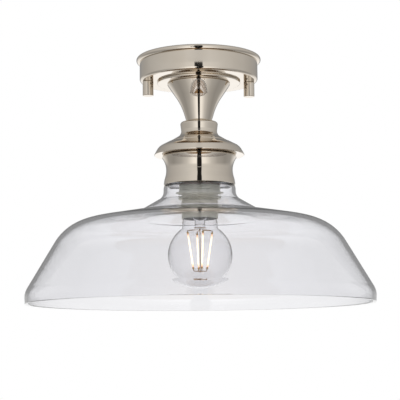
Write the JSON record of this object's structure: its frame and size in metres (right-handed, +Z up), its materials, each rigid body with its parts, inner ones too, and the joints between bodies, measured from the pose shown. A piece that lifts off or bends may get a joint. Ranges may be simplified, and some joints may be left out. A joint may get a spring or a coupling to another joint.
{
  "type": "semi flush ceiling light",
  "caption": "Semi flush ceiling light: a nickel canopy and trumpet stem carry a gallery, a wide clear glass shade open below and an E27 filament lamp.",
  "frame": {"origin": "middle of the mounting bracket's two ceiling slots, in the plane of the ceiling", "axes": "+Z up into the ceiling, X along the bracket through the two canopy nuts, -Y towards the viewer"},
  "size_m": [0.3242, 0.3242, 0.2324],
  "materials": {
    "polished_nickel": "polished nickel plate",
    "zinc_steel": "zinc plated",
    "brass": "plain brass",
    "porcelain": "glazed porcelain",
    "fibre": "vulcanised fibre",
    "clear_glass": "clear blown glass",
    "lamp_glass": "clear glass",
    "lamp_cap_metal": "plated",
    "black_insulator": "vitrified",
    "solder": "satin",
    "filament": "lit phosphor",
    "lead_wire": "drawn wire",
    "block_plastic": "moulded nylon",
    "brown_insulation": "extruded",
    "blue_insulation": "extruded",
    "green_insulation": "extruded"
  },
  "bodies": {
    "bracket": {"ceiling_bracket": "zinc_steel", "bracket_studs": "zinc_steel", "stud_nuts": "zinc_steel"},
    "nut_left": {"cap_nut_left": "polished_nickel"},
    "nut_right": {"cap_nut_right": "polished_nickel"},
    "shade": {"glass_shade": "clear_glass"},
    "ring": {"shade_ring": "polished_nickel"},
    "bulb": {"bulb_glass": "lamp_glass", "lamp_cap": "lamp_cap_metal", "lamp_insulator": "black_insulator", "lamp_tip": "solder", "lamp_stem": "lamp_glass", "filaments": "filament", "filament_wires": "lead_wire"},
    "fixture": {"canopy": "polished_nickel", "seat_disc": "polished_nickel", "trumpet": "polished_nickel", "collar": "polished_nickel", "shade_cap": "polished_nickel", "gallery": "polished_nickel", "stem_tube": "zinc_steel", "canopy_nut": "brass", "lock_washer": "zinc_steel", "gallery_nut": "brass", "holder_cap": "polished_nickel", "holder_skirt": "polished_nickel", "holder_core": "porcelain", "screw_shell": "brass", "centre_contact": "brass", "terminal_screws": "brass", "fitter_plate": "zinc_steel", "fibre_washer": "fibre", "terminal_block": "block_plastic", "block_screws": "brass", "live_lead": "brown_insulation", "neutral_lead": "blue_insulation", "earth_lead": "green_insulation", "earth_tag": "brass", "earth_screw": "brass"}
  },
  "joints": [
    {"name": "canopy_lower", "type": "slide", "parent": "bracket", "child": "fixture", "axis": [0, 0, 1], "range_m": [-0.00735, 0]},
    {"name": "cap_nut_left_turn", "type": "hinge", "parent": "fixture", "child": "nut_left", "pos_m": [-0.0479, 0, -0.03], "axis": [0, 0, 1], "range_deg": [-3781, 1]},
    {"name": "cap_nut_right_turn", "type": "hinge", "parent": "fixture", "child": "nut_right", "pos_m": [0.0479, 0, -0.03], "axis": [0, 0, 1], "range_deg": [-3781, 1]},
    {"name": "shade_lower", "type": "slide", "parent": "fixture", "child": "shade", "axis": [0, 0, 1], "range_m": [-0.015, 0]},
    {"name": "shade_ring_turn", "type": "hinge", "parent": "shade", "child": "ring", "pos_m": [0, 0, -0.132], "axis": [0, 0, 1], "range_deg": [-2701, 1]},
    {"name": "bulb_out", "type": "slide", "parent": "fixture", "child": "bulb", "axis": [0, 0, 1], "range_m": [-0.13, 0]}
  ],
  "couplings": [
    {"joint": "cap_nut_left_turn", "follows": "canopy_lower", "rad_per_m": 8976},
    {"joint": "cap_nut_right_turn", "follows": "canopy_lower", "rad_per_m": 8976},
    {"joint": "shade_ring_turn", "follows": "shade_lower", "rad_per_m": 3141.6}
  ]
}
